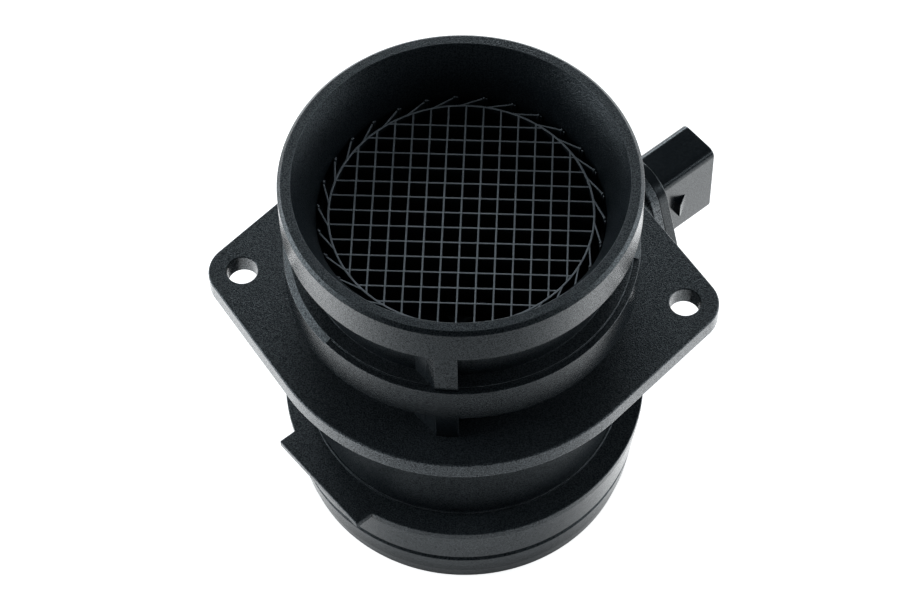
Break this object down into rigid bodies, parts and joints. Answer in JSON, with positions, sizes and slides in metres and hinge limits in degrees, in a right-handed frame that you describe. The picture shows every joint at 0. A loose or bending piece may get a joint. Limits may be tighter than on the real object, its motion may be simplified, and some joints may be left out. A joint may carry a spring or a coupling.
{
  "type": "mass airflow sensor",
  "caption": "Black plastic engine air duct with a flow-straightening grid in its mouth, a lobed mounting flange and a plug-in hot-film sensor module with a connector.",
  "frame": {"origin": "on the duct's axis at the flat outlet end that the part stands on", "axes": "+Z along the duct from the outlet to the grid end, +X through the flange's two holes; the connector points to +X +Y at 45 degrees"},
  "size_m": [0.1172, 0.103, 0.108],
  "materials": {
    "housing_plastic": "satin black glass-filled nylon",
    "grid_plastic": "matt black",
    "module_plastic": "smooth satin black",
    "seal_rubber": "matt",
    "plate_metal": "rolled",
    "board_ceramic": "matt",
    "chip_silicon": "polished",
    "bead_coating": "gloss",
    "terminal_metal": "tinned",
    "screw_steel": "zinc plated"
  },
  "bodies": {
    "root": {"sensor_housing": "housing_plastic", "flow_grid": "grid_plastic", "sensor_module_frame": "module_plastic", "sealing_ring": "seal_rubber", "base_plate": "plate_metal", "circuit_board": "board_ceramic", "sensing_element": "chip_silicon", "electronics_cover": "module_plastic", "channel_cover": "module_plastic", "air_temperature_sensor": "bead_coating", "terminal_pin_1": "terminal_metal", "terminal_pin_2": "terminal_metal", "terminal_pin_3": "terminal_metal", "terminal_pin_4": "terminal_metal", "terminal_pin_5": "terminal_metal", "module_screw_1": "screw_steel", "module_screw_2": "screw_steel"}
  },
  "joints": []
}
